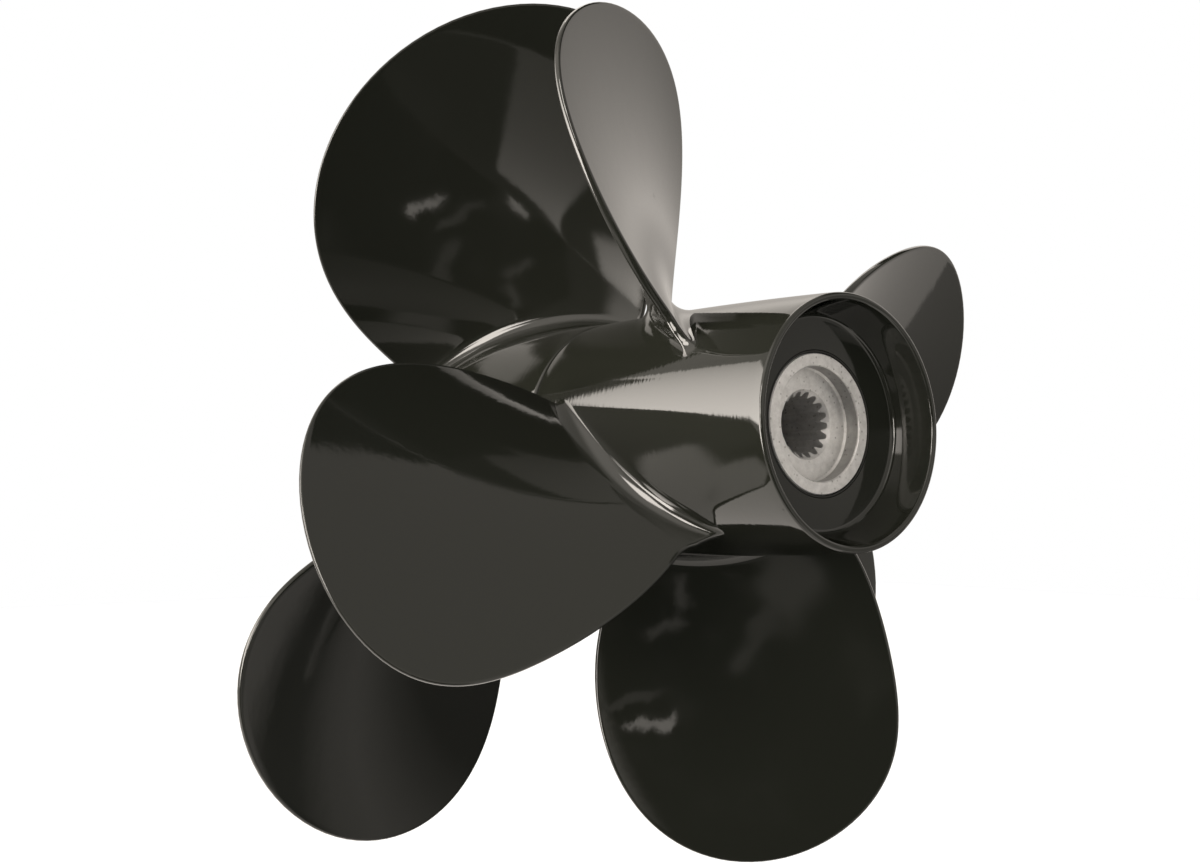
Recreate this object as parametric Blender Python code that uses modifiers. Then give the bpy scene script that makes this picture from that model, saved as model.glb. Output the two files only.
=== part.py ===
# Contra-rotating propeller pair of a stern drive: two aluminium castings on one shaft line.
# +Y is forward, +X is starboard, +Z is up. The shaft axis is Y, and the origin lies on it
# in the plane of the aft rim. Angles run anticlockwise as seen from behind, looking forward.
import math
from dataclasses import dataclass

import bmesh
import bpy
from mathutils import Matrix, Vector

MM = 0.001
FIT = 0.3 * MM
RUNNING_GAP = 0.7 * MM

# Outer line of the two hubs, aft to forward
RIM_RADIUS = 47.2 * MM
SEAM_Y = 132.1 * MM
SEAM_RADIUS = 50.4 * MM
HUB_BULGE = 1.0 * MM
FRONT_END_Y = 232.0 * MM
FRONT_END_RADIUS = 57.0 * MM
SEAM_CHAMFER = 0.8 * MM

# Lips of the aft and forward cups
LIP_THICKNESS = 2.8 * MM
LIP_ROUNDING = 1.2 * MM
CUP_FLOOR_Y = 16.6 * MM
CUP_FLOOR_RADIUS = 40.8 * MM
CUP_CORNER = 2.0 * MM
FRONT_LIP_THICKNESS = 5.0 * MM
FRONT_CUP_RADIUS = 51.0 * MM
FRONT_CUP_FLOOR_Y = 214.0 * MM

# Rear bush and splined sleeve
REAR_BUSH_RADIUS = 27.8 * MM
REAR_BUSH_END_Y = 108.0 * MM
REAR_RING_RADIUS = 26.4 * MM
REAR_RING_END_Y = 31.0 * MM
REAR_BARREL_RADIUS = 18.5 * MM
REAR_SLEEVE_END_Y = 112.0 * MM
REAR_RECESS_RADIUS = 21.5 * MM
REAR_RECESS_FLOOR_Y = 23.6 * MM
REAR_SPLINE_TEETH = 18
REAR_SPLINE_RADIUS = 12.5 * MM
REAR_SPLINE_DEPTH = 1.8 * MM
SPLINE_CHAMFER = 0.8 * MM
SLEEVE_CHAMFER = 0.6 * MM
BORE_STOCK = 2.0 * MM      # left inside the tooth tips until the splines are cut
CUTTER_REACH = 10.0 * MM   # how far the spline cutter runs past a sleeve's ends
TOOTH_OUTLINE = ((0.0, 0.0), (0.42, 0.0), (0.58, 1.0), (0.84, 1.0))  # share of the turn, of the depth

# Forward end of the rear hub: a pocket, and the spigot that runs in the front hub
REAR_POCKET_Y = 108.0 * MM
REAR_POCKET_RADIUS = 40.0 * MM
SPIGOT_RADIUS = 45.0 * MM
SPIGOT_END_Y = 136.0 * MM

# Inside of the front hub
NUT_POCKET_END_Y = 150.0 * MM
FRONT_BUSH_RADIUS = 41.0 * MM
FRONT_RING_RADIUS = 38.0 * MM
FRONT_RING_Y = 204.0 * MM
FRONT_BARREL_RADIUS = 31.0 * MM
FRONT_SLEEVE_Y = 147.0 * MM
FRONT_SPLINE_TEETH = 30
FRONT_SPLINE_RADIUS = 24.0 * MM
FRONT_SPLINE_DEPTH = 2.2 * MM
THRUST_SEAT_RADIUS = 33.0 * MM
THRUST_SEAT_Y = 207.0 * MM

# Fineness of the solids
HUB_SEGMENTS = 64
REAR_HUB_STATIONS = 6
FRONT_HUB_STATIONS = 3
SLEEVE_SEGMENTS = 60
BLADE_COLUMNS = 12
BLADE_ROWS = 10
NOSE_POINTS = 2
FILLET_ANGLES = (0, 30, 60)
FOOT_SINK = 0.3 * MM
ROOT_SINK = 2.5 * MM
TRIM_REACH = 0.13          # share of the span over which the root trim fades out
MERGE_DISTANCE = 0.002 * MM
SHARP_ANGLE = math.radians(35)


@dataclass
class BladeDesign:
    """One propeller's blades, in metres. rho runs from 0 at the hub to 1 at the tip."""
    count: int
    hand: int                # +1 is right-handed, -1 is left-handed
    first_angle: float       # where the first blade's reference line stands
    tip_radius: float
    root_radius: float
    station_y: float         # where the reference line leaves the hub
    pitch: float             # at rho = 0.7
    pitch_slope: float
    pitch_bend: float
    rake: float              # aft lean for each metre outwards
    rake_bend: float
    fullness: float          # power of the round tip
    half_width: tuple        # polynomial in rho
    sweep: tuple             # polynomial in rho, towards the trailing edge
    root_trim: tuple         # how far the leading and trailing edges draw in at the hub
    root_thickness: float
    edge_thickness: float
    blunt_thickness: float   # of the trailing edge at the hub
    fillet: tuple            # at the leading edge, in the middle and at the trailing edge

    @property
    def span(self):
        return self.tip_radius - self.edge_thickness / 2 - self.root_radius


REAR_BLADE = BladeDesign(
    count=4, hand=1, first_angle=math.radians(108.2),
    tip_radius=179.1 * MM, root_radius=50.2 * MM, station_y=82.1 * MM,
    pitch=446.0 * MM, pitch_slope=-0.072, pitch_bend=-0.432,
    rake=-0.072, rake_bend=0.106, fullness=3.32,
    half_width=(41.5 * MM, 87.7 * MM, -111.2 * MM, 79.6 * MM),
    sweep=(0.0, -13.2 * MM, -14.9 * MM, 24.2 * MM), root_trim=(2.0 * MM, -11.0 * MM),
    root_thickness=9.5 * MM, edge_thickness=2.4 * MM, blunt_thickness=4.0 * MM,
    fillet=(6.0 * MM, 7.5 * MM, 3.0 * MM))

FRONT_BLADE = BladeDesign(
    count=3, hand=-1, first_angle=math.radians(112.0),
    tip_radius=202.7 * MM, root_radius=53.3 * MM, station_y=180.8 * MM,
    pitch=420.7 * MM, pitch_slope=0.024, pitch_bend=-0.060,
    rake=-0.054, rake_bend=0.130, fullness=3.27,
    half_width=(57.2 * MM, 57.9 * MM, 7.8 * MM, 5.4 * MM),
    sweep=(0.0, 2.8 * MM, -32.1 * MM, 68.7 * MM), root_trim=(0.3 * MM, 2.4 * MM),
    root_thickness=11.0 * MM, edge_thickness=2.4 * MM, blunt_thickness=4.0 * MM,
    fillet=(6.0 * MM, 7.5 * MM, 3.0 * MM))


def clear_scene():
    for item in list(bpy.data.objects):
        bpy.data.objects.remove(item, do_unlink=True)


def new_collection(name):
    group = bpy.data.collections.new(name)
    bpy.context.scene.collection.children.link(group)
    return group


def new_material(name, colour, roughness, metallic):
    material = bpy.data.materials.new(name)
    material.use_nodes = True
    shader = material.node_tree.nodes["Principled BSDF"]
    shader.inputs["Base Color"].default_value = (*colour, 1.0)
    shader.inputs["Roughness"].default_value = roughness
    shader.inputs["Metallic"].default_value = metallic
    return material


def new_object(name, mesh, group):
    item = bpy.data.objects.new(name, mesh)
    group.objects.link(item)
    return item


def settle(item, group, material=None):
    """Bake the modifiers of an object into one mesh with its faces pointing out."""
    graph = bpy.context.evaluated_depsgraph_get()
    mesh = bpy.data.meshes.new_from_object(item.evaluated_get(graph))
    name = item.name
    bpy.data.objects.remove(item, do_unlink=True)
    shape = bmesh.new()
    shape.from_mesh(mesh)
    bmesh.ops.remove_doubles(shape, verts=shape.verts, dist=MERGE_DISTANCE)
    bmesh.ops.recalc_face_normals(shape, faces=shape.faces)
    shape.to_mesh(mesh)
    shape.free()
    mesh.shade_smooth()
    mesh.set_sharp_from_angle(angle=SHARP_ANGLE)
    mesh.materials.clear()
    if material:
        mesh.materials.append(material)
    return new_object(name, mesh, group)


def turned(name, profile, segments, group, material=None):
    """Spin a closed outline of (radius, y) points about the Y axis."""
    mesh = bpy.data.meshes.new(name)
    points = [(radius, y, 0.0) for radius, y in profile]
    edges = [(index, (index + 1) % len(points)) for index in range(len(points))]
    mesh.from_pydata(points, edges, [])
    item = new_object(name, mesh, group)
    screw = item.modifiers.new("Spin", "SCREW")
    screw.axis = "Y"
    screw.steps = segments
    screw.render_steps = segments
    screw.use_merge_vertices = True
    screw.merge_threshold = 0.01 * MM
    return settle(item, group, material)


def arc(radius, y, size, start, stop, steps=3):
    """Arc about (radius, y), its angles in degrees from outwards towards forward."""
    angles = [math.radians(start + (stop - start) * step / steps) for step in range(steps + 1)]
    return [(radius + size * math.cos(angle), y + size * math.sin(angle)) for angle in angles]


def boolean(item, tool, operation, group, material):
    cut = item.modifiers.new(operation.title(), "BOOLEAN")
    cut.operation = operation
    cut.solver = "EXACT"
    cut.object = tool
    return settle(item, group, material)


def guide(item):
    """Mark an object as a working shape that is no part of the model."""
    item.hide_render = True
    item.display_type = "WIRE"
    return item


def spline_cutter(name, teeth, radius, depth, start_y, end_y, group):
    """A bar with a toothed outline that leaves inward spline teeth when it is cut away."""
    shape = bmesh.new()
    outline = []
    for tooth in range(teeth):
        for turn_share, depth_share in TOOTH_OUTLINE:
            angle = 2 * math.pi * (tooth + turn_share) / teeth
            out = radius - depth * depth_share
            outline.append(shape.verts.new((out * math.cos(angle), start_y, out * math.sin(angle))))
    face = shape.faces.new(outline)
    grown = bmesh.ops.extrude_face_region(shape, geom=[face])
    moved = [part for part in grown["geom"] if isinstance(part, bmesh.types.BMVert)]
    bmesh.ops.translate(shape, verts=moved, vec=(0.0, end_y - start_y, 0.0))
    bmesh.ops.recalc_face_normals(shape, faces=shape.faces)
    mesh = bpy.data.meshes.new(name)
    shape.to_mesh(mesh)
    shape.free()
    return guide(new_object(name, mesh, group))


def hub_radius(y):
    """Radius of the hubs' outer line at the station y: barrelled aft, coned forward."""
    if y < SEAM_Y:
        share = y / SEAM_Y
        return RIM_RADIUS + (SEAM_RADIUS - RIM_RADIUS) * share + 4 * HUB_BULGE * share * (1 - share)
    return SEAM_RADIUS + (FRONT_END_RADIUS - SEAM_RADIUS) * (y - SEAM_Y) / (FRONT_END_Y - SEAM_Y)


def polynomial(coefficients, x):
    return sum(value * x ** power for power, value in enumerate(coefficients))


def edge_at(design, rho, across):
    """Thickness of the rounded edge: even along the leading edge, blunter aft near the hub."""
    extra = design.blunt_thickness - design.edge_thickness
    return design.edge_thickness + extra * (1 - rho) * ((1 + across) / 2) ** 2


def fillet_at(design, across):
    """Size of the root fillet along the chord: largest in the middle, small at the edges."""
    leading, middle, trailing = design.fillet
    return middle + ((leading if across < 0 else trailing) - middle) * across * across


def from_half_disc(design, across, up):
    """Map a point of the unit half disc onto the blade: rho, place along the chord, crown.

    The straight side of the half disc is the root chord, and its arc is the blade's outline.
    """
    rho = up ** (2.0 / design.fullness)
    half_width = polynomial(design.half_width, rho)
    middle = polynomial(design.sweep, rho)
    draw = max(0.0, 1.0 - rho / TRIM_REACH) ** 2
    leading = middle - half_width + edge_at(design, rho, -1) / 2 + design.root_trim[0] * draw
    trailing = middle + half_width - edge_at(design, rho, 1) / 2 - design.root_trim[1] * draw
    along = (leading + trailing) / 2 + across * (trailing - leading) / 2
    chord = 1.0 - up * up
    bulge = max(0.0, 1.0 - across * across / chord) if chord > 1e-9 else 0.0
    crown = (design.root_thickness - design.edge_thickness) * bulge * (1.0 - rho)
    return rho, along, crown


def edge_normal(design, across, up):
    """Direction, as (outwards, along), that points out of the blade at its outline."""
    angle = math.atan2(up, -across)
    ends = []
    for turn in (max(angle - 0.02, 0.0), min(angle + 0.02, math.pi)):
        rho, along, _ = from_half_disc(design, -math.cos(turn), max(math.sin(turn), 0.0))
        ends.append(Vector((rho * design.span, along)))
    run = (ends[1] - ends[0]).normalized()
    return Vector((run.y, -run.x))


def nose(design, across, up):
    """Points of the rounded edge at one place of the outline, from the face to the back.

    A point of the blade is (rho, along, lift, size of the root fillet there).
    """
    rho, along, _ = from_half_disc(design, across, up)
    normal = edge_normal(design, across, up)
    size = edge_at(design, rho, across) / 2
    points = []
    for step in range(1, NOSE_POINTS + 1):
        angle = math.pi * step / (NOSE_POINTS + 1) - math.pi / 2
        reach = size * math.cos(angle)
        points.append((rho + normal.x * reach / design.span, along + normal.y * reach,
                       size * math.sin(angle), fillet_at(design, across)))
    return points


def blade_loop(design, row):
    """One closed loop round the blade: its face, trailing edge, back and leading edge."""
    face, back = [], []
    for column in range(BLADE_COLUMNS + 1):
        side = -math.cos(math.pi * column / BLADE_COLUMNS)
        across = side * math.sqrt(1 - row * row / 2)
        up = row * math.sqrt(1 - side * side / 2)
        rho, along, crown = from_half_disc(design, across, up)
        half_edge = edge_at(design, rho, across) / 2
        fillet = fillet_at(design, side)
        face.append((rho, along, -half_edge, fillet))
        back.append((rho, along, half_edge + crown, fillet))
    across = math.sqrt(1 - row * row / 2)
    up = row * math.sqrt(0.5)
    return face + nose(design, across, up) + back[::-1] + nose(design, -across, up)[::-1]


def sides_of(loop):
    """Face, trailing edge, back and leading edge of a loop, each run aft or towards the back."""
    count = BLADE_COLUMNS + 1
    back_start = count + NOSE_POINTS
    back_end = back_start + count
    return (loop[:count], loop[count:back_start], loop[back_start:back_end][::-1],
            loop[back_end:][::-1])


def fillet_reach(size, height):
    """How far a fillet stands out from the blade at a height above the hub."""
    drop = min(max(size - height, 0.0), size)
    return size - math.sqrt(size * size - drop * drop)


def flared(loop, reach_of):
    """Grow a loop outwards in its own surface, as the root fillet does."""
    grown = []
    for index, (rho, along, lift, size) in enumerate(loop):
        before = loop[index - 1]
        after = loop[(index + 1) % len(loop)]
        run = Vector((after[1] - before[1], after[2] - before[2])).normalized()
        reach = reach_of(size)
        grown.append((rho, along + run.y * reach, lift - run.x * reach, size))
    return grown


def place(design, point, height=None):
    """Put (rho, along, lift) on the pitch helix of a blade whose reference line is at angle 0."""
    rho, along, lift, _ = point
    out = design.span * rho
    radius = design.root_radius + out
    twist = 1 + design.pitch_slope * (rho - 0.7) + design.pitch_bend * (rho - 0.7) ** 2
    helix = math.atan2(design.pitch * twist, 2 * math.pi * radius)
    turn = design.hand * (along * math.cos(helix) + lift * math.sin(helix)) / radius
    y = design.station_y - design.rake * out - design.rake_bend * out * out / design.span
    y += lift * math.cos(helix) - along * math.sin(helix)
    seat = (hub_radius(y) - design.root_radius) * (1.0 - min(rho, 1.0)) ** 2
    radius = design.root_radius + seat + (out if height is None else height)
    return Vector((radius * math.cos(turn), y, radius * math.sin(turn)))


def blade_mesh(design, name):
    """Loft one blade with its rounded edges and its root fillet, as a closed mesh."""
    shape = bmesh.new()
    loops = []

    def add_loop(points, height=None):
        loops.append([shape.verts.new(place(design, point, height)) for point in points])

    # Root: two rings inside the hub, then the fillet up to the blade proper
    power = design.fullness / 2
    largest = max(design.fillet)
    heights = [largest * (1 - math.sin(math.radians(degrees))) for degrees in FILLET_ANGLES]
    lowest = heights[-1]
    base = flared(blade_loop(design, (lowest / design.span) ** power),
                  lambda size: size + FOOT_SINK * (size - fillet_reach(size, lowest)) / lowest)
    add_loop(base, -ROOT_SINK)
    add_loop(base, -FOOT_SINK)
    for height in reversed(heights):
        ring = blade_loop(design, (height / design.span) ** power)
        add_loop(flared(ring, lambda size: fillet_reach(size, height)), height)

    # Blade proper, up to the row that ends in the tip
    first = 1.5 * largest / design.span
    for step in range(BLADE_ROWS):
        row = (first + (1.0 - first) * step / (BLADE_ROWS - 1)) ** power
        add_loop(blade_loop(design, min(row, 1.0)))

    for lower, upper in zip(loops, loops[1:]):
        for index in range(len(lower)):
            after = (index + 1) % len(lower)
            shape.faces.new((lower[index], lower[after], upper[after], upper[index]))

    # Foot: closed column by column, so that it follows the curve of the hub
    face, trailing, back, leading = sides_of(loops[0])
    for column in range(BLADE_COLUMNS):
        shape.faces.new((face[column], back[column], back[column + 1], face[column + 1]))
    shape.faces.new([face[0], *leading, back[0]])
    shape.faces.new([face[-1], *trailing, back[-1]])

    # Tip: the rounded edge along the last row joins its face to its back
    face, trailing, back, leading = sides_of(loops[-1])
    strips = [[face[0], *leading, back[0]]]
    for column in range(1, BLADE_COLUMNS):
        side = -math.cos(math.pi * column / BLADE_COLUMNS)
        edge = nose(design, side * math.sqrt(0.5), math.sqrt(1 - side * side / 2))
        middle = [shape.verts.new(place(design, point)) for point in edge]
        strips.append([face[column], *middle, back[column]])
    strips.append([face[-1], *trailing, back[-1]])
    for left, right in zip(strips, strips[1:]):
        for index in range(NOSE_POINTS + 1):
            shape.faces.new((left[index], right[index], right[index + 1], left[index + 1]))

    bmesh.ops.recalc_face_normals(shape, faces=shape.faces)
    mesh = bpy.data.meshes.new(name)
    shape.to_mesh(mesh)
    shape.free()
    return mesh


def add_blades(hub, design, parts, cutters, material):
    """Join the blades to the hub, one casting."""
    name = hub.name + "_blade"
    mesh = blade_mesh(design, name)
    casting = hub
    for index in range(design.count):
        blade = guide(new_object(name, mesh, cutters))
        angle = design.first_angle + 2 * math.pi * index / design.count
        blade.matrix_world = Matrix.Rotation(-angle, 4, "Y")
        bpy.context.view_layer.update()
        casting = boolean(casting, blade, "UNION", parts, material)
    return casting


def rear_propeller(parts, cutters, paint):
    """Four-bladed right-handed casting with a deep aft cup and a spigot at its forward end."""
    bore = REAR_BUSH_RADIUS + FIT
    lip_inside = RIM_RADIUS - LIP_THICKNESS
    profile = arc(lip_inside + LIP_ROUNDING, LIP_ROUNDING, LIP_ROUNDING, 180, 270)
    profile += arc(RIM_RADIUS - LIP_ROUNDING, LIP_ROUNDING, LIP_ROUNDING, 270, 360)
    stations = [SEAM_Y * step / REAR_HUB_STATIONS for step in range(1, REAR_HUB_STATIONS)]
    profile += [(hub_radius(y), y) for y in stations]
    profile += [(hub_radius(SEAM_Y - SEAM_CHAMFER), SEAM_Y - SEAM_CHAMFER)]
    profile += [(SEAM_RADIUS - SEAM_CHAMFER, SEAM_Y), (SPIGOT_RADIUS, SEAM_Y),
                (SPIGOT_RADIUS, SPIGOT_END_Y), (REAR_POCKET_RADIUS, SPIGOT_END_Y),
                (REAR_POCKET_RADIUS, REAR_POCKET_Y), (bore, REAR_POCKET_Y), (bore, CUP_FLOOR_Y)]
    profile += arc(CUP_FLOOR_RADIUS - CUP_CORNER, CUP_FLOOR_Y - CUP_CORNER, CUP_CORNER, 90, 0)
    hub = turned("rear_propeller", profile, HUB_SEGMENTS, parts, paint)
    return add_blades(hub, REAR_BLADE, parts, cutters, paint)


def front_propeller(parts, cutters, paint):
    """Three-bladed left-handed casting, bored for the outer shaft's bush and sleeve."""
    start = SEAM_Y + RUNNING_GAP
    bore = FRONT_BUSH_RADIUS + FIT
    counterbore = SPIGOT_RADIUS + RUNNING_GAP
    lip_inside = FRONT_END_RADIUS - FRONT_LIP_THICKNESS
    end = FRONT_END_Y - LIP_ROUNDING
    profile = [(SEAM_RADIUS - SEAM_CHAMFER, start)]
    first = start + SEAM_CHAMFER
    stations = [first + (end - first) * step / FRONT_HUB_STATIONS for step in range(FRONT_HUB_STATIONS)]
    profile += [(hub_radius(y), y) for y in stations]
    profile += arc(FRONT_END_RADIUS - LIP_ROUNDING, end, LIP_ROUNDING, 0, 90)
    profile += arc(lip_inside + LIP_ROUNDING, end, LIP_ROUNDING, 90, 180)
    profile += arc(FRONT_CUP_RADIUS - CUP_CORNER, FRONT_CUP_FLOOR_Y + CUP_CORNER, CUP_CORNER, 0, -90)
    profile += [(bore, FRONT_CUP_FLOOR_Y), (bore, NUT_POCKET_END_Y),
                (counterbore, NUT_POCKET_END_Y), (counterbore, start)]
    hub = turned("front_propeller", profile, HUB_SEGMENTS, parts, paint)
    return add_blades(hub, FRONT_BLADE, parts, cutters, paint)


def rubber_bush(name, radius, ring_radius, barrel_radius, ring_end, step, barrel_end, parts, rubber):
    """Rubber sleeve with a thin collar round the metal sleeve's ring."""
    profile = [(radius, ring_end), (radius, barrel_end), (barrel_radius + FIT, barrel_end),
               (barrel_radius + FIT, step), (ring_radius + FIT, step), (ring_radius + FIT, ring_end)]
    return turned(name, profile, SLEEVE_SEGMENTS, parts, rubber)


def rear_spline_sleeve(parts, cutters, metal):
    """Sleeve of the inner shaft: a recessed ring aft, a barrel forward and a splined bore."""
    tips = REAR_SPLINE_RADIUS - REAR_SPLINE_DEPTH
    mouth = REAR_SPLINE_RADIUS + SPLINE_CHAMFER
    core = tips - BORE_STOCK
    chamfer_end = REAR_RECESS_FLOOR_Y + mouth - core
    profile = [(REAR_RING_RADIUS - SLEEVE_CHAMFER, CUP_FLOOR_Y),
               (REAR_RING_RADIUS, CUP_FLOOR_Y + SLEEVE_CHAMFER),
               (REAR_RING_RADIUS, REAR_RING_END_Y), (REAR_BARREL_RADIUS, REAR_RING_END_Y),
               (REAR_BARREL_RADIUS, REAR_SLEEVE_END_Y - SLEEVE_CHAMFER),
               (REAR_BARREL_RADIUS - SLEEVE_CHAMFER, REAR_SLEEVE_END_Y), (core, REAR_SLEEVE_END_Y),
               (core, chamfer_end), (mouth, REAR_RECESS_FLOOR_Y),
               (REAR_RECESS_RADIUS, REAR_RECESS_FLOOR_Y),
               (REAR_RECESS_RADIUS, CUP_FLOOR_Y + SLEEVE_CHAMFER),
               (REAR_RECESS_RADIUS + SLEEVE_CHAMFER, CUP_FLOOR_Y)]
    sleeve = turned("rear_spline_sleeve", profile, SLEEVE_SEGMENTS, parts, metal)
    cutter = spline_cutter("rear_spline_cutter", REAR_SPLINE_TEETH, REAR_SPLINE_RADIUS,
                           REAR_SPLINE_DEPTH, CUP_FLOOR_Y - CUTTER_REACH,
                           REAR_SLEEVE_END_Y + CUTTER_REACH, cutters)
    return boolean(sleeve, cutter, "DIFFERENCE", parts, metal)


def front_spline_sleeve(parts, cutters, metal):
    """Sleeve of the outer shaft, with a coned thrust seat at its forward end."""
    core = FRONT_SPLINE_RADIUS - FRONT_SPLINE_DEPTH - BORE_STOCK
    profile = [(core, FRONT_SLEEVE_Y), (FRONT_BARREL_RADIUS - SLEEVE_CHAMFER, FRONT_SLEEVE_Y),
               (FRONT_BARREL_RADIUS, FRONT_SLEEVE_Y + SLEEVE_CHAMFER),
               (FRONT_BARREL_RADIUS, FRONT_RING_Y), (FRONT_RING_RADIUS, FRONT_RING_Y),
               (FRONT_RING_RADIUS, FRONT_CUP_FLOOR_Y - SLEEVE_CHAMFER),
               (FRONT_RING_RADIUS - SLEEVE_CHAMFER, FRONT_CUP_FLOOR_Y),
               (THRUST_SEAT_RADIUS, FRONT_CUP_FLOOR_Y),
               (FRONT_SPLINE_RADIUS + SPLINE_CHAMFER, THRUST_SEAT_Y), (core, THRUST_SEAT_Y)]
    sleeve = turned("front_spline_sleeve", profile, SLEEVE_SEGMENTS, parts, metal)
    cutter = spline_cutter("front_spline_cutter", FRONT_SPLINE_TEETH, FRONT_SPLINE_RADIUS,
                           FRONT_SPLINE_DEPTH, FRONT_SLEEVE_Y - CUTTER_REACH,
                           FRONT_CUP_FLOOR_Y + CUTTER_REACH, cutters)
    return boolean(sleeve, cutter, "DIFFERENCE", parts, metal)


def build():
    clear_scene()
    parts = new_collection("propeller_pair")
    cutters = new_collection("cutters")
    paint = new_material("gloss_black_paint", (0.012, 0.012, 0.010), 0.08, 0.0)
    rubber = new_material("black_rubber", (0.015, 0.015, 0.015), 0.7, 0.0)
    metal = new_material("sleeve_metal", (0.42, 0.41, 0.39), 0.45, 1.0)

    rear_propeller(parts, cutters, paint)
    rubber_bush("rear_rubber_bush", REAR_BUSH_RADIUS, REAR_RING_RADIUS, REAR_BARREL_RADIUS,
                CUP_FLOOR_Y, REAR_RING_END_Y + FIT, REAR_BUSH_END_Y, parts, rubber)
    rear_spline_sleeve(parts, cutters, metal)
    front_propeller(parts, cutters, paint)
    rubber_bush("front_rubber_bush", FRONT_BUSH_RADIUS, FRONT_RING_RADIUS, FRONT_BARREL_RADIUS,
                FRONT_CUP_FLOOR_Y, FRONT_RING_Y - FIT, NUT_POCKET_END_Y, parts, rubber)
    front_spline_sleeve(parts, cutters, metal)


build()
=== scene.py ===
import math

import bmesh
import bpy
from mathutils import Matrix, Vector


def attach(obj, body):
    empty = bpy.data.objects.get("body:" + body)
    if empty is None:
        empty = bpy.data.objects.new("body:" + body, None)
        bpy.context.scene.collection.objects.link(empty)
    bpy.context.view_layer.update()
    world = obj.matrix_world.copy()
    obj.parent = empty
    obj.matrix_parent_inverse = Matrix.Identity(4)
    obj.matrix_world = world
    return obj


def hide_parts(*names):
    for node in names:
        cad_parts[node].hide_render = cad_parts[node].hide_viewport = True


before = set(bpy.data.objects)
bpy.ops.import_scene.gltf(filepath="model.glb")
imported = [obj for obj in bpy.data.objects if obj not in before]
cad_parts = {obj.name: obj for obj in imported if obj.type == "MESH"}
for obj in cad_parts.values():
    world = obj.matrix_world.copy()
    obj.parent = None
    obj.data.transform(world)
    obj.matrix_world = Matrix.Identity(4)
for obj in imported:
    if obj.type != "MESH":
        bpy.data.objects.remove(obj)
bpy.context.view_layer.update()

MM = 0.001


# Camera
# It stands off the port quarter, close in and a little below the shaft line, and looks up past
# the rim, as the photograph was taken. The shift is the photograph's own framing.
CAMERA_AZIMUTH = math.radians(-36.64)
CAMERA_ELEVATION = math.radians(-8.25)
CAMERA_DISTANCE = 469.7 * MM
CAMERA_ASIDE = 102.6 * MM
CAMERA_RISE = -36.1 * MM
CAMERA_LENS = 39.05
CAMERA_SHIFT = (0.0248, -0.0925)

back = Vector((math.sin(CAMERA_AZIMUTH) * math.cos(CAMERA_ELEVATION),
               -math.cos(CAMERA_AZIMUTH) * math.cos(CAMERA_ELEVATION),
               math.sin(CAMERA_ELEVATION)))
right = Vector((math.cos(CAMERA_AZIMUTH), math.sin(CAMERA_AZIMUTH), 0.0))
up = back.cross(right)
camera_data = bpy.data.cameras.new("photo_camera")
camera_data.lens = CAMERA_LENS
camera_data.shift_x, camera_data.shift_y = CAMERA_SHIFT
camera_data.clip_start = 0.01
camera = bpy.data.objects.new("photo_camera", camera_data)
bpy.context.scene.collection.objects.link(camera)
camera.matrix_world = Matrix((right, up, back)).transposed().to_4x4()
camera.location = back * CAMERA_DISTANCE - right * CAMERA_ASIDE - up * CAMERA_RISE
bpy.context.scene.camera = camera


# Rear propeller casting
# One aluminium casting: a barrelled hub with a deep cup aft, a spigot forward and four broad
# right-handed blades, turned at the rim and bore and finished in gloss black enamel.
RIM_RADIUS = 47.2 * MM
SEAM_Y = 132.1 * MM
SEAM_RADIUS = 50.4 * MM
HUB_BULGE = 1.0 * MM
SEAM_ROUNDING = 1.5 * MM
RUNNING_GAP = 0.7 * MM
FRONT_END_Y = 232.0 * MM
FRONT_END_RADIUS = 57.0 * MM
LIP_THICKNESS = 2.8 * MM
LIP_ROUNDING = 1.2 * MM
CUP_FLOOR_Y = 16.6 * MM
CUP_FLOOR_RADIUS = 40.8 * MM
CUP_CORNER = 2.0 * MM
SPIGOT_RADIUS = 45.0 * MM
SPIGOT_END_Y = 136.0 * MM
REAR_POCKET_Y = 108.0 * MM
REAR_POCKET_RADIUS = 40.0 * MM
REAR_BORE_RADIUS = 27.6 * MM
HUB_STEPS = 240
HUB_LINE_STEPS = 24
MERGE_DISTANCE = 0.001 * MM
SHARP_ANGLE = math.radians(40)

rear_blade = {
    "count": 4, "hand": 1, "first_angle": math.radians(108.2),
    "tip_radius": 179.1 * MM, "root_radius": 50.2 * MM, "station_y": 82.1 * MM,
    "pitch": 446.0 * MM, "pitch_slope": -0.072, "pitch_bend": -0.432,
    "rake": -0.072, "rake_bend": 0.106, "fullness": 3.32,
    "half_width": (41.5 * MM, 87.7 * MM, -111.2 * MM, 79.6 * MM),
    "sweep": (0.0, -13.2 * MM, -14.9 * MM, 24.2 * MM), "root_trim": (2.0 * MM, -11.0 * MM),
    "root_thickness": 9.5 * MM, "edge_thickness": 2.4 * MM, "blunt_thickness": 4.0 * MM,
    "fillet": (3.5 * MM, 7.5 * MM, 3.0 * MM),
}

# How finely a blade is made: across, along, round its edge and up its root fillet
COLUMNS = 44
ROWS = 60
NOSE_STEPS = 8
FILLET_ANGLES = (0, 8, 16, 24, 32, 40, 48, 56, 64, 72, 80)

# How a blade is laid out: where its root trim ends and its pitch is stated, as shares of the
# span, how square its edge is, where its plain rows start in fillets, and how far it sinks in
TRIM_REACH = 0.13
PITCH_STATION = 0.7
EDGE_POWER = 2.3
EDGE_POWER_AFT = 1.2
EDGE_NUDGE = 0.01
RUN_STEPS = 3
PLAIN_START = 1.5
FOOT_SINK = 0.15 * MM
ROOT_SINK = 1.5 * MM


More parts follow.
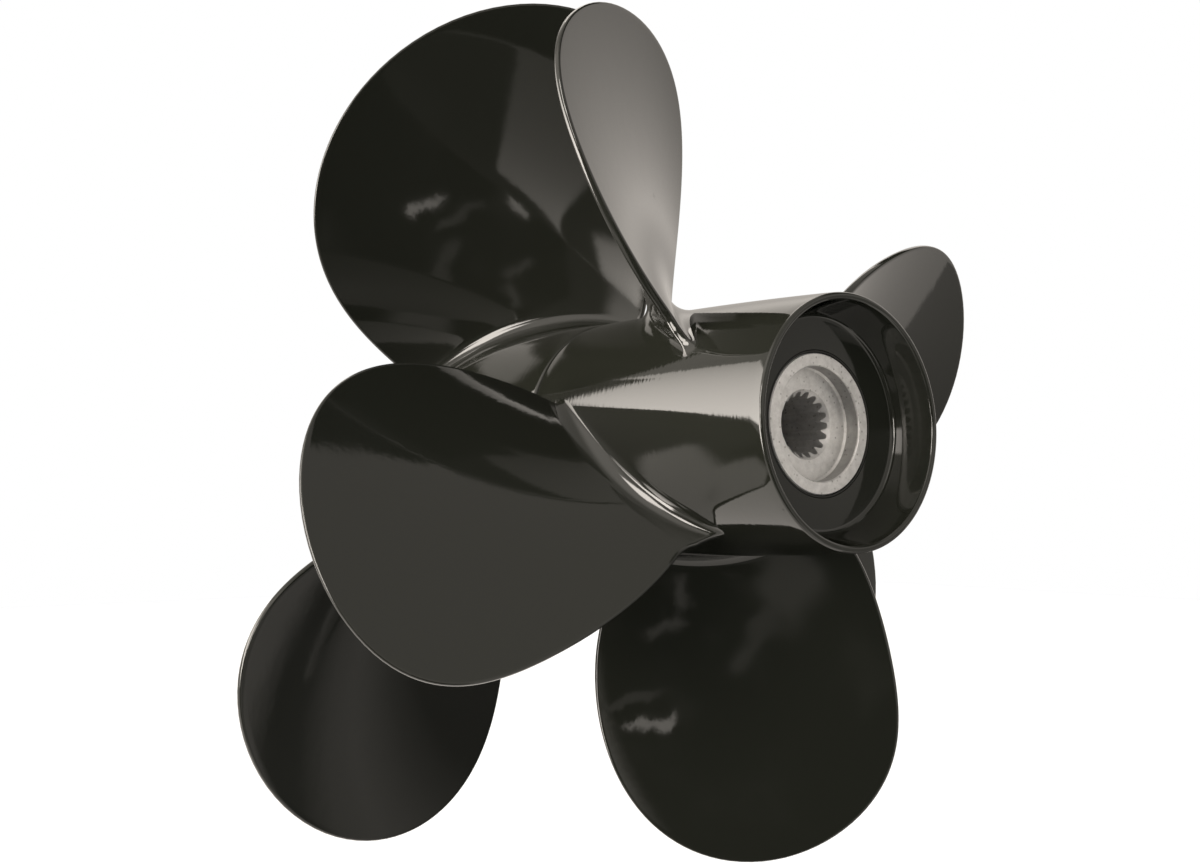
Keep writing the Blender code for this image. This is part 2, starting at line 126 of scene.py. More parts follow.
def hub_radius(y):
    """Radius of both hubs' outer line: barrelled aft of the seam, coned ahead of it."""
    if y < SEAM_Y:
        share = y / SEAM_Y
        taper = RIM_RADIUS + (SEAM_RADIUS - RIM_RADIUS) * share
        return taper + 4 * HUB_BULGE * share * (1 - share)
    return SEAM_RADIUS + (FRONT_END_RADIUS - SEAM_RADIUS) * (y - SEAM_Y) / (FRONT_END_Y - SEAM_Y)


def polynomial(coefficients, x):
    return sum(value * x ** power for power, value in enumerate(coefficients))


def blade_span(blade):
    return blade["tip_radius"] - blade["edge_thickness"] / 2 - blade["root_radius"]


def edge_at(blade, rho, across):
    """Thickness of the edge: even along the leading edge, blunter aft near the hub."""
    extra = blade["blunt_thickness"] - blade["edge_thickness"]
    return blade["edge_thickness"] + extra * (1 - rho) * ((1 + across) / 2) ** 2


def fillet_at(blade, across):
    """Size of the root fillet across the chord, from the leading to the trailing edge."""
    leading, middle, trailing = blade["fillet"]
    return middle + ((leading if across < 0 else trailing) - middle) * across * across


def on_blade(blade, across, height):
    """Map a point of the unit half disc, whose arc is the blade's outline, to the blade.

    rho runs from 0 at the hub to 1 at the tip, along is the place on the chord, and crown is
    how much thicker the blade is there than its edge.
    """
    rho = height ** (2.0 / blade["fullness"])
    half_width = polynomial(blade["half_width"], rho)
    middle = polynomial(blade["sweep"], rho)
    draw = max(0.0, 1.0 - rho / TRIM_REACH) ** 2
    leading = middle - half_width + edge_at(blade, rho, -1) / 2 + blade["root_trim"][0] * draw
    trailing = middle + half_width - edge_at(blade, rho, 1) / 2 - blade["root_trim"][1] * draw
    along = (leading + trailing) / 2 + across * (trailing - leading) / 2
    chord = 1.0 - height * height
    bulge = max(0.0, 1.0 - across * across / chord) if chord > 1e-9 else 0.0
    crown = (blade["root_thickness"] - blade["edge_thickness"]) * bulge * (1.0 - rho)
    return rho, along, crown


def nose(blade, across, height):
    """The edge at one place of the outline, from the face to the back, squarer towards aft."""
    angle = math.atan2(height, -across)
    ends = []
    for turn in (max(angle - EDGE_NUDGE, 0.0), min(angle + EDGE_NUDGE, math.pi)):
        rho, along, _ = on_blade(blade, -math.cos(turn), max(math.sin(turn), 0.0))
        ends.append(Vector((rho * blade_span(blade), along)))
    run = (ends[1] - ends[0]).normalized()
    rho, along, _ = on_blade(blade, across, height)
    size = edge_at(blade, rho, across) / 2
    square = 2.0 / (EDGE_POWER + EDGE_POWER_AFT * (1 + across) / 2)
    points = []
    for step in range(1, NOSE_STEPS + 1):
        bend = math.pi * step / (NOSE_STEPS + 1) - math.pi / 2
        reach = size * math.cos(bend) ** square
        lift = math.copysign(size * abs(math.sin(bend)) ** square, bend)
        points.append((rho + run.y * reach / blade_span(blade), along - run.x * reach, lift,
                       fillet_at(blade, across)))
    return points


def blade_loop(blade, row):
    """One closed loop: along the face, round the trailing edge, back and leading edge."""
    face, far_side = [], []
    for column in range(COLUMNS + 1):
        side = -math.cos(math.pi * column / COLUMNS)
        across = side * math.sqrt(1 - row * row / 2)
        height = row * math.sqrt(1 - side * side / 2)
        rho, along, crown = on_blade(blade, across, height)
        half_edge = edge_at(blade, rho, across) / 2
        face.append((rho, along, -half_edge, fillet_at(blade, side)))
        far_side.append((rho, along, half_edge + crown, fillet_at(blade, side)))
    across, height = math.sqrt(1 - row * row / 2), row * math.sqrt(0.5)
    return (face + nose(blade, across, height) + far_side[::-1]
            + nose(blade, -across, height)[::-1])


def sides_of(loop):
    """Part a loop into its face, trailing edge, back and leading edge."""
    count = COLUMNS + 1
    turn = count + NOSE_STEPS
    end = turn + count
    return loop[:count], loop[count:turn], loop[turn:end][::-1], loop[end:][::-1]


def fillet_reach(size, height):
    """How far a fillet stands out from the blade at a height above the hub."""
    drop = min(max(size - height, 0.0), size)
    return size - math.sqrt(size * size - drop * drop)


def flared(loop, reach_of):
    """Grow a loop outwards in its own surface, as the root fillet does."""
    grown = []
    for index, (rho, along, lift, size) in enumerate(loop):
        before, after = loop[index - RUN_STEPS], loop[(index + RUN_STEPS) % len(loop)]
        run = Vector((after[1] - before[1], after[2] - before[2])).normalized()
        reach = reach_of(size)
        grown.append((rho, along + run.y * reach, lift - run.x * reach, size))
    return grown


def on_helix(blade, point, height=None):
    """Lay a blade point on its pitch helix, the reference line standing at angle zero."""
    rho, along, lift, _ = point
    out = blade_span(blade) * rho
    radius = blade["root_radius"] + out
    past = rho - PITCH_STATION
    twist = 1 + blade["pitch_slope"] * past + blade["pitch_bend"] * past ** 2
    helix = math.atan2(blade["pitch"] * twist, 2 * math.pi * radius)
    turn = blade["hand"] * (along * math.cos(helix) + lift * math.sin(helix)) / radius
    y = (blade["station_y"] - blade["rake"] * out
         - blade["rake_bend"] * out * out / blade_span(blade))
    y += lift * math.cos(helix) - along * math.sin(helix)
    seat = (hub_radius(y) - blade["root_radius"]) * (1.0 - min(rho, 1.0)) ** 2
    radius = blade["root_radius"] + seat + (out if height is None else height)
    return Vector((radius * math.cos(turn), y, radius * math.sin(turn)))


def raise_ring(shape, ring, places):
    """Extrude a ring of vertices by one row and move the new ones to their places."""
    around = [(ring[index], ring[(index + 1) % len(ring)]) for index in range(len(ring))]
    edges = [shape.edges.get(pair) for pair in around]
    grown = bmesh.ops.extrude_edge_only(shape, edges=edges)["geom"]
    fresh = {part for part in grown if isinstance(part, bmesh.types.BMVert)}
    upper = []
    for vertex, target in zip(ring, places):
        risen = next(edge.other_vert(vertex) for edge in vertex.link_edges
                     if edge.other_vert(vertex) in fresh)
        risen.co = target
        upper.append(risen)
    return upper


def lofted_blade(blade):
    """Raise one blade ring by ring from inside the hub, then close its foot and its tip."""
    shape = bmesh.new()
    power = blade["fullness"] / 2
    span = blade_span(blade)
    largest = max(blade["fillet"])
    heights = [largest * (1 - math.sin(math.radians(degrees))) for degrees in FILLET_ANGLES]
    lowest = heights[-1]
    base = flared(blade_loop(blade, (lowest / span) ** power),
                  lambda size: size + FOOT_SINK * (size - fillet_reach(size, lowest)) / lowest)
    foot = [shape.verts.new(on_helix(blade, point, -ROOT_SINK)) for point in base]
    for index in range(len(foot)):
        shape.edges.new((foot[index - 1], foot[index]))
    ring = raise_ring(shape, foot, [on_helix(blade, point, -FOOT_SINK) for point in base])
    for height in reversed(heights):
        loop = flared(blade_loop(blade, (height / span) ** power),
                      lambda size: fillet_reach(size, height))
        ring = raise_ring(shape, ring, [on_helix(blade, point, height) for point in loop])
    first = PLAIN_START * largest / span
    for step in range(ROWS):
        row = min((first + (1.0 - first) * step / (ROWS - 1)) ** power, 1.0)
        places = [on_helix(blade, point) for point in blade_loop(blade, row)]
        ring = raise_ring(shape, ring, places)

    # The foot, inside the hub
    face, trailing, far_side, leading = sides_of(foot)
    for column in range(COLUMNS):
        shape.faces.new((face[column], far_side[column],
                         far_side[column + 1], face[column + 1]))
    shape.faces.new([face[0], *leading, far_side[0]])
    shape.faces.new([face[-1], *trailing, far_side[-1]])

    # The tip, whose rounded edge joins the face to the back
    face, trailing, far_side, leading = sides_of(ring)
    strips = [[face[0], *leading, far_side[0]]]
    for column in range(1, COLUMNS):
        side = -math.cos(math.pi * column / COLUMNS)
        edge = nose(blade, side * math.sqrt(0.5), math.sqrt(1 - side * side / 2))
        middle = [shape.verts.new(on_helix(blade, point)) for point in edge]
        strips.append([face[column], *middle, far_side[column]])
    strips.append([face[-1], *trailing, far_side[-1]])
    for near, far in zip(strips, strips[1:]):
        for index in range(NOSE_STEPS + 1):
            shape.faces.new((near[index], far[index], far[index + 1], near[index + 1]))
    return shape


def arc(radius, y, size, start, stop, steps=6):
    """Points of a rounding in a turned outline, as (radius, y)."""
    angles = [math.radians(start + (stop - start) * step / steps) for step in range(steps + 1)]
    return [(radius + size * math.cos(angle), y + size * math.sin(angle)) for angle in angles]


def spun(profile, steps=HUB_STEPS):
    """Turn a closed outline of (radius, y) points about the shaft line."""
    shape = bmesh.new()
    points = [shape.verts.new((radius, y, 0.0)) for radius, y in profile]
    edges = [shape.edges.new((points[index - 1], points[index]))
             for index in range(len(points))]
    bmesh.ops.spin(shape, geom=points + edges, cent=(0, 0, 0), axis=(0, 1, 0), dvec=(0, 0, 0),
                   angle=2 * math.pi, steps=steps, use_merge=True)
    bmesh.ops.remove_doubles(shape, verts=shape.verts, dist=MERGE_DISTANCE)
    return shape


def finished(name, shape):
    """Make an object of a closed bmesh, its faces pointing out and its smooth parts smooth."""
    bmesh.ops.recalc_face_normals(shape, faces=shape.faces)
    mesh = bpy.data.meshes.new(name)
    shape.to_mesh(mesh)
    shape.free()
    mesh.shade_smooth()
    mesh.set_sharp_from_angle(angle=SHARP_ANGLE)
    piece = bpy.data.objects.new(name, mesh)
    bpy.context.scene.collection.objects.link(piece)
    return piece


def boolean(piece, tool, operation):
    """Join or cut one closed piece with another, and keep the result as its mesh."""
    join = piece.modifiers.new("join", "BOOLEAN")
    join.operation = operation
    join.solver = "EXACT"
    join.object = tool
    graph = bpy.context.evaluated_depsgraph_get()
    mesh = bpy.data.meshes.new_from_object(piece.evaluated_get(graph))
    piece.modifiers.clear()
    piece.data = mesh
    bpy.data.objects.remove(tool)
    mesh.shade_smooth()
    mesh.set_sharp_from_angle(angle=SHARP_ANGLE)
    return piece


def paint(mesh, start, end):
    """Enamel a casting. Its turned line keeps true normals and shows the turning's rings."""
    near = 0.03 * MM
    step = 0.5 * MM
    outward = 0.8
    mesh.materials.clear()
    mesh.materials.append(cast_enamel)
    mesh.materials.append(turned_enamel)
    normals = [Vector(corner.vector) for corner in mesh.corner_normals]
    for polygon in mesh.polygons:
        turned = 0
        for corner in polygon.loop_indices:
            spot = mesh.vertices[mesh.loops[corner].vertex_index].co
            radius = math.hypot(spot.x, spot.z)
            if start < spot.y < end and abs(radius - hub_radius(spot.y)) < near:
                slope = (hub_radius(spot.y + step) - hub_radius(spot.y - step)) / (2 * step)
                true = Vector((spot.x / radius, -slope, spot.z / radius)).normalized()
                if true.dot(polygon.normal) > outward:
                    normals[corner] = true
                    turned += 1
        polygon.material_index = 1 if turned == polygon.loop_total else 0
    mesh.normals_split_custom_set(normals)


def cast_with_blades(name, profile, blade):
    """Join the blades to a turned hub in a single casting."""
    hub = finished(name, spun(profile))
    blades = bmesh.new()
    mesh = bpy.data.meshes.new("one_blade")
    shape = lofted_blade(blade)
    shape.to_mesh(mesh)
    shape.free()
    for index in range(blade["count"]):
        angle = blade["first_angle"] + 2 * math.pi * index / blade["count"]
        fresh = len(blades.verts)
        blades.from_mesh(mesh)
        blades.verts.ensure_lookup_table()
        bmesh.ops.rotate(blades, verts=blades.verts[fresh:], cent=(0, 0, 0),
                         matrix=Matrix.Rotation(-angle, 3, "Y"))
    bpy.data.meshes.remove(mesh)
    return boolean(hub, finished("blades", blades), "UNION")


lip_inside = RIM_RADIUS - LIP_THICKNESS
profile = arc(lip_inside + LIP_ROUNDING, LIP_ROUNDING, LIP_ROUNDING, 180, 270)
profile += arc(RIM_RADIUS - LIP_ROUNDING, LIP_ROUNDING, LIP_ROUNDING, 270, 360)
for step in range(1, HUB_LINE_STEPS):
    y = SEAM_Y * step / HUB_LINE_STEPS
    profile.append((hub_radius(y), y))
profile += arc(SEAM_RADIUS - SEAM_ROUNDING, SEAM_Y - SEAM_ROUNDING, SEAM_ROUNDING, 0, 90)
profile += [(SPIGOT_RADIUS, SEAM_Y), (SPIGOT_RADIUS, SPIGOT_END_Y),
            (REAR_POCKET_RADIUS, SPIGOT_END_Y), (REAR_POCKET_RADIUS, REAR_POCKET_Y),
            (REAR_BORE_RADIUS, REAR_POCKET_Y), (REAR_BORE_RADIUS, CUP_FLOOR_Y)]
profile += arc(CUP_FLOOR_RADIUS - CUP_CORNER, CUP_FLOOR_Y - CUP_CORNER, CUP_CORNER, 90, 0)
rear_casting = cast_with_blades("rear_casting", profile, rear_blade)


GRINDING_DEPTH = 0.030 * MM
PEEL_DEPTH = 0.008 * MM
RING_DEPTH = 0.012 * MM
ENAMEL_BLACK = (0.0115, 0.0122, 0.0092, 1.0)
TURNED_START = LIP_ROUNDING * 1.05
TURNED_END = SEAM_Y - SEAM_ROUNDING * 1.02


def linked(tree, kind, **values):
    """Add a node, with its settings, and with its inputs set or linked by name or number."""
    node = tree.nodes.new(kind)
    for name, value in values.pop("settings", {}).items():
        setattr(node, name, value)
    for name, value in values.pop("inputs", {}).items():
        socket = node.inputs[name]
        if isinstance(value, bpy.types.NodeSocket):
            tree.links.new(value, socket)
        else:
            socket.default_value = value
    return node


def black_enamel(name, rings):
    """Gloss enamel over a ground casting: fine peel, grinding waves, rings where turned."""
    material = bpy.data.materials.new(name)
    material.use_nodes = True
    tree = material.node_tree
    shader = tree.nodes["Principled BSDF"]
    place = linked(tree, "ShaderNodeTexCoord").outputs["Object"]
    across = linked(tree, "ShaderNodeSeparateXYZ", inputs={"Vector": place}).outputs["Y"]
    heights = (
        ("grinding", "3D", {"Vector": place, "Scale": 80.0, "Detail": 2.0}, GRINDING_DEPTH),
        ("peel", "3D", {"Vector": place, "Scale": 420.0, "Detail": 3.0}, PEEL_DEPTH),
        ("rings", "1D", {"W": across, "Scale": 620.0, "Detail": 2.0, "Roughness": 0.5}, rings),
    )
    normal = None
    for label, dimensions, inputs, depth in heights:
        if depth:
            noise = linked(tree, "ShaderNodeTexNoise",
                           settings={"noise_dimensions": dimensions}, inputs=inputs)
            bump = linked(tree, "ShaderNodeBump", settings={"label": label},
                          inputs={"Height": noise.outputs["Fac"], "Strength": 1.0,
                                  "Distance": depth})
            if normal:
                tree.links.new(normal, bump.inputs["Normal"])
            normal = bump.outputs["Normal"]
    rough_spots = linked(tree, "ShaderNodeTexNoise",
                         inputs={"Vector": place, "Scale": 30.0, "Detail": 3.0})
    rough = linked(tree, "ShaderNodeMapRange",
                   inputs={"Value": rough_spots.outputs["Fac"],
                           "From Min": 0.35, "From Max": 0.7, "To Min": 0.03, "To Max": 0.08})
    tree.links.new(normal, shader.inputs["Normal"])
    tree.links.new(rough.outputs["Result"], shader.inputs["Roughness"])
    shader.inputs["Base Color"].default_value = ENAMEL_BLACK
    shader.inputs["IOR"].default_value = 1.5
    return material


cast_enamel = black_enamel("cast_enamel", 0.0)
turned_enamel = black_enamel("turned_enamel", RING_DEPTH)
paint(rear_casting.data, TURNED_START, TURNED_END)
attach(rear_casting, "rear_unit")
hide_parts("rear_propeller")


# Front propeller casting
# The larger casting ahead of it, on the outer shaft: a coned hub with three broad left-handed
# blades, open forward to the drive, counterbored aft for the rear hub's spigot.
FRONT_LIP_THICKNESS = 5.0 * MM
FRONT_CUP_RADIUS = 51.0 * MM
FRONT_CUP_FLOOR_Y = 214.0 * MM
FRONT_BORE_RADIUS = 41.3 * MM
NUT_POCKET_END_Y = 150.0 * MM

front_blade = {
    "count": 3, "hand": -1, "first_angle": math.radians(112.0),
    "tip_radius": 202.7 * MM, "root_radius": 53.3 * MM, "station_y": 180.8 * MM,
    "pitch": 420.7 * MM, "pitch_slope": 0.024, "pitch_bend": -0.060,
    "rake": -0.054, "rake_bend": 0.130, "fullness": 3.27,
    "half_width": (57.2 * MM, 57.9 * MM, 7.8 * MM, 5.4 * MM),
    "sweep": (0.0, 2.8 * MM, -32.1 * MM, 68.7 * MM), "root_trim": (0.3 * MM, 2.4 * MM),
    "root_thickness": 11.0 * MM, "edge_thickness": 2.4 * MM, "blunt_thickness": 4.0 * MM,
    "fillet": (6.0 * MM, 7.5 * MM, 3.0 * MM),
}

front_start = SEAM_Y + RUNNING_GAP
front_inside = FRONT_END_RADIUS - FRONT_LIP_THICKNESS
front_end = FRONT_END_Y - LIP_ROUNDING
counterbore = SPIGOT_RADIUS + RUNNING_GAP
front_turned = front_start + SEAM_ROUNDING
profile = arc(SEAM_RADIUS - SEAM_ROUNDING, front_turned, SEAM_ROUNDING, 270, 360)
for step in range(1, HUB_LINE_STEPS):
    y = front_turned + (front_end - front_turned) * step / HUB_LINE_STEPS
    profile.append((hub_radius(y), y))
profile += arc(FRONT_END_RADIUS - LIP_ROUNDING, front_end, LIP_ROUNDING, 0, 90)
profile += arc(front_inside + LIP_ROUNDING, front_end, LIP_ROUNDING, 90, 180)
profile += arc(FRONT_CUP_RADIUS - CUP_CORNER, FRONT_CUP_FLOOR_Y + CUP_CORNER, CUP_CORNER,
               0, -90)
profile += [(FRONT_BORE_RADIUS, FRONT_CUP_FLOOR_Y), (FRONT_BORE_RADIUS, NUT_POCKET_END_Y),
            (counterbore, NUT_POCKET_END_Y), (counterbore, front_start)]
front_casting = cast_with_blades("front_casting", profile, front_blade)
paint(front_casting.data, front_turned, front_end)
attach(front_casting, "front_unit")
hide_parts("front_propeller")


# Rear rubber bush
# Moulded rubber ring between casting and sleeve, bonded, with a thin collar that shows as a
# fine black line round the silver ring in the cup's floor.
FIT = 0.3 * MM
REAR_BUSH_RADIUS = 27.3 * MM
REAR_BUSH_END_Y = 108.0 * MM
REAR_RING_RADIUS = 26.4 * MM
REAR_RING_END_Y = 31.0 * MM
REAR_BARREL_RADIUS = 18.5 * MM
BUSH_STEPS = 120
RUBBER_DARK = (0.008, 0.008, 0.006, 1.0)
RUBBER_PALE = (0.014, 0.014, 0.011, 1.0)


def bush(name, radius, ring_radius, barrel_radius, ring_end, step, barrel_end):
    """A stepped rubber ring, thin round the sleeve's ring and thick on its barrel."""
    return finished(name, spun([(radius, ring_end), (radius, barrel_end),
                                (barrel_radius + FIT, barrel_end), (barrel_radius + FIT, step),
                                (ring_radius + FIT, step), (ring_radius + FIT, ring_end)],
                               BUSH_STEPS))


def black_rubber():
    """Dull black rubber with the fine grain of a ground mould."""
    material = bpy.data.materials.new("black_rubber")
    material.use_nodes = True
    tree = material.node_tree
    shader = tree.nodes["Principled BSDF"]
    place = linked(tree, "ShaderNodeTexCoord").outputs["Object"]
    grain = linked(tree, "ShaderNodeTexNoise",
                   inputs={"Vector": place, "Scale": 1600.0, "Detail": 3.0})
    bloom = linked(tree, "ShaderNodeTexNoise",
                   inputs={"Vector": place, "Scale": 80.0, "Detail": 3.0})
    shade = linked(tree, "ShaderNodeMix", settings={"data_type": "RGBA"},
                   inputs={"Factor": bloom.outputs["Fac"], "A": RUBBER_DARK, "B": RUBBER_PALE})
    bump = linked(tree, "ShaderNodeBump",
                  inputs={"Height": grain.outputs["Fac"], "Strength": 0.4,
                          "Distance": 0.05 * MM})
    tree.links.new(shade.outputs["Result"], shader.inputs["Base Color"])
    tree.links.new(bump.outputs["Normal"], shader.inputs["Normal"])
    shader.inputs["Roughness"].default_value = 0.65
    return material


rubber = black_rubber()
rear_bush = bush("rear_bush", REAR_BUSH_RADIUS, REAR_RING_RADIUS, REAR_BARREL_RADIUS,
                 CUP_FLOOR_Y, REAR_RING_END_Y + FIT, REAR_BUSH_END_Y)
rear_bush.data.materials.append(rubber)
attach(rear_bush, "rear_unit")
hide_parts("rear_rubber_bush")


# Rear splined sleeve
# Steel sleeve of the inner shaft, turned with a recessed ring aft, broached with eighteen
# splines, then blasted to a dull sandy silver that shows small specks.
REAR_SLEEVE_END_Y = 112.0 * MM
REAR_RECESS_RADIUS = 21.5 * MM
REAR_RECESS_FLOOR_Y = 23.6 * MM
RECESS_LEDGE = 0.7 * MM
REAR_TEETH = 18
REAR_SPLINE_RADIUS = 12.5 * MM
REAR_SPLINE_DEPTH = 1.8 * MM
SPLINE_CHAMFER = 0.8 * MM
SLEEVE_CHAMFER = 0.4 * MM
SLEEVE_STEPS = 180
BORE_STOCK = 2.0 * MM
GROOVE_STEPS = 12
TOOTH_POWER = 2.2
REAR_BROACH_END_Y = 120.0 * MM
STEEL_STAINED = (0.62, 0.61, 0.59, 1.0)
STEEL_CLEAN = (0.79, 0.78, 0.76, 1.0)
STEEL_SPECK = (0.12, 0.105, 0.09, 1.0)
# Painted shade for the sleeve's recess: a grey that the steel's colour is multiplied by there
RECESS_PAINTED_SHADE = (0.58, 0.58, 0.58, 1.0)
RECESS_HALF_DEPTH = 2.6 * MM


def broach(teeth, radius, depth, start_y, end_y):
    """A grooved bar that leaves narrow round-topped spline teeth when it is cut away."""
    shape = bmesh.new()
    outline = []
    for index in range(teeth * GROOVE_STEPS):
        angle = 2 * math.pi * index / (teeth * GROOVE_STEPS)
        share = (1 - math.cos(angle * teeth)) / 2
        out = radius - depth * share ** TOOTH_POWER
        place = (out * math.cos(angle), start_y, out * math.sin(angle))
        outline.append(shape.verts.new(place))
    grown = bmesh.ops.extrude_face_region(shape, geom=[shape.faces.new(outline)])
    moved = [part for part in grown["geom"] if isinstance(part, bmesh.types.BMVert)]
    bmesh.ops.translate(shape, verts=moved, vec=(0.0, end_y - start_y, 0.0))
    return finished("broach", shape)


def blasted_steel():
    """Dull silver steel, finely blasted, with specks and faint stains, and painted shade in the
    recess.
    """
    material = bpy.data.materials.new("blasted_steel")
    material.use_nodes = True
    tree = material.node_tree
    shader = tree.nodes["Principled BSDF"]
    place = linked(tree, "ShaderNodeTexCoord").outputs["Object"]
    grit = linked(tree, "ShaderNodeTexNoise",
                  inputs={"Vector": place, "Scale": 2600.0, "Detail": 3.0})
    stains = linked(tree, "ShaderNodeTexNoise",
                    inputs={"Vector": place, "Scale": 300.0, "Detail": 8.0, "Roughness": 0.65})
    stain = linked(tree, "ShaderNodeMapRange",
                   inputs={"Value": stains.outputs["Fac"], "From Min": 0.35, "From Max": 0.65})
    specks = linked(tree, "ShaderNodeTexVoronoi", inputs={"Vector": place, "Scale": 420.0})
    speck = linked(tree, "ShaderNodeMapRange",
                   inputs={"Value": specks.outputs["Distance"],
                           "From Min": 0.05, "From Max": 0.22, "To Min": 0.6, "To Max": 0.0})
    silver = linked(tree, "ShaderNodeMix", settings={"data_type": "RGBA"},
                    inputs={"Factor": stain.outputs["Result"], "A": STEEL_STAINED,
                            "B": STEEL_CLEAN})
    speckled = linked(tree, "ShaderNodeMix", settings={"data_type": "RGBA"},
                      inputs={"Factor": speck.outputs["Result"],
                              "A": silver.outputs["Result"], "B": STEEL_SPECK})
    along = linked(tree, "ShaderNodeSeparateXYZ", inputs={"Vector": place}).outputs["Y"]
    # Painted shade: darken the steel in a band between the ring face and the recess floor, on
    # the recess wall
    recess = linked(tree, "ShaderNodeMath", settings={"operation": "COMPARE"},
                    inputs={0: along, 1: (CUP_FLOOR_Y + REAR_RECESS_FLOOR_Y) / 2,
                            2: RECESS_HALF_DEPTH})
    recess_shaded = linked(tree, "ShaderNodeMix",
                     settings={"data_type": "RGBA", "blend_type": "MULTIPLY"},
                     inputs={"Factor": recess.outputs[0], "A": speckled.outputs["Result"],
                             "B": RECESS_PAINTED_SHADE})
    bump = linked(tree, "ShaderNodeBump",
                  inputs={"Height": grit.outputs["Fac"], "Strength": 0.5,
                          "Distance": 0.04 * MM})
    tree.links.new(recess_shaded.outputs["Result"], shader.inputs["Base Color"])
    tree.links.new(bump.outputs["Normal"], shader.inputs["Normal"])
    shader.inputs["Metallic"].default_value = 0.85
    shader.inputs["Roughness"].default_value = 0.48
    return material


tips = REAR_SPLINE_RADIUS - REAR_SPLINE_DEPTH
mouth = REAR_SPLINE_RADIUS + SPLINE_CHAMFER
core = tips - BORE_STOCK
profile = [(REAR_RING_RADIUS - SLEEVE_CHAMFER, CUP_FLOOR_Y),
           (REAR_RING_RADIUS, CUP_FLOOR_Y + SLEEVE_CHAMFER),
           (REAR_RING_RADIUS, REAR_RING_END_Y), (REAR_BARREL_RADIUS, REAR_RING_END_Y),
           (REAR_BARREL_RADIUS, REAR_SLEEVE_END_Y - SLEEVE_CHAMFER),
           (REAR_BARREL_RADIUS - SLEEVE_CHAMFER, REAR_SLEEVE_END_Y), (core, REAR_SLEEVE_END_Y),
           (core, REAR_RECESS_FLOOR_Y + mouth - core), (mouth, REAR_RECESS_FLOOR_Y),
           (REAR_RECESS_RADIUS - RECESS_LEDGE, REAR_RECESS_FLOOR_Y),
           (REAR_RECESS_RADIUS, REAR_RECESS_FLOOR_Y - RECESS_LEDGE),
           (REAR_RECESS_RADIUS, CUP_FLOOR_Y + SLEEVE_CHAMFER),
           (REAR_RECESS_RADIUS + SLEEVE_CHAMFER, CUP_FLOOR_Y)]
rear_sleeve = boolean(finished("rear_sleeve", spun(profile, SLEEVE_STEPS)),
                      broach(REAR_TEETH, REAR_SPLINE_RADIUS, REAR_SPLINE_DEPTH, 0.0,
                             REAR_BROACH_END_Y), "DIFFERENCE")
steel = blasted_steel()
rear_sleeve.data.materials.clear()
rear_sleeve.data.materials.append(steel)
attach(rear_sleeve, "rear_unit")
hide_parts("rear_spline_sleeve")


# Front rubber bush
# The same kind of moulded ring in the front casting, larger, round the outer shaft's sleeve.
FRONT_BUSH_RADIUS = 41.0 * MM
FRONT_RING_RADIUS = 38.0 * MM
FRONT_RING_Y = 204.0 * MM
FRONT_BARREL_RADIUS = 31.0 * MM
front_bush = bush("front_bush", FRONT_BUSH_RADIUS, FRONT_RING_RADIUS, FRONT_BARREL_RADIUS,
                  FRONT_CUP_FLOOR_Y, FRONT_RING_Y - FIT, NUT_POCKET_END_Y)
front_bush.data.materials.append(rubber)
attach(front_bush, "front_unit")
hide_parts("front_rubber_bush")


# Front splined sleeve
# Steel sleeve of the hollow outer shaft: thirty splines, and a coned seat forward that takes
# the drive's thrust washer.
FRONT_SLEEVE_Y = 147.0 * MM
FRONT_TEETH = 30
FRONT_SPLINE_RADIUS = 24.0 * MM
FRONT_SPLINE_DEPTH = 2.2 * MM
THRUST_SEAT_RADIUS = 33.0 * MM
THRUST_SEAT_Y = 207.0 * MM
FRONT_BROACH_Y = 130.0 * MM
core = FRONT_SPLINE_RADIUS - FRONT_SPLINE_DEPTH - BORE_STOCK
profile = [(core, FRONT_SLEEVE_Y), (FRONT_BARREL_RADIUS - SLEEVE_CHAMFER, FRONT_SLEEVE_Y),
           (FRONT_BARREL_RADIUS, FRONT_SLEEVE_Y + SLEEVE_CHAMFER),
           (FRONT_BARREL_RADIUS, FRONT_RING_Y), (FRONT_RING_RADIUS, FRONT_RING_Y),
           (FRONT_RING_RADIUS, FRONT_CUP_FLOOR_Y - SLEEVE_CHAMFER),
           (FRONT_RING_RADIUS - SLEEVE_CHAMFER, FRONT_CUP_FLOOR_Y),
           (THRUST_SEAT_RADIUS, FRONT_CUP_FLOOR_Y),
           (FRONT_SPLINE_RADIUS + SPLINE_CHAMFER, THRUST_SEAT_Y), (core, THRUST_SEAT_Y)]
front_sleeve = boolean(finished("front_sleeve", spun(profile, SLEEVE_STEPS)),
                       broach(FRONT_TEETH, FRONT_SPLINE_RADIUS, FRONT_SPLINE_DEPTH,
                              FRONT_BROACH_Y, FRONT_END_Y), "DIFFERENCE")
front_sleeve.data.materials.clear()
front_sleeve.data.materials.append(steel)
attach(front_sleeve, "front_unit")
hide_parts("front_spline_sleeve")


# Studio
# A white room with a pale floor well below the blades. A long soft lamp stands to port, small
# ones behind it and overhead, and a creased black cloth hangs behind the camera. Only
# reflections see the lamps and cloth; the camera and the diffuse light see plain even white.
FLOOR_Z = -0.9
FLOOR_HALF_WIDTH = 12.0
FLOOR_PALE = (0.9, 0.9, 0.9, 1.0)
WARM = (1.0, 0.93, 0.855)

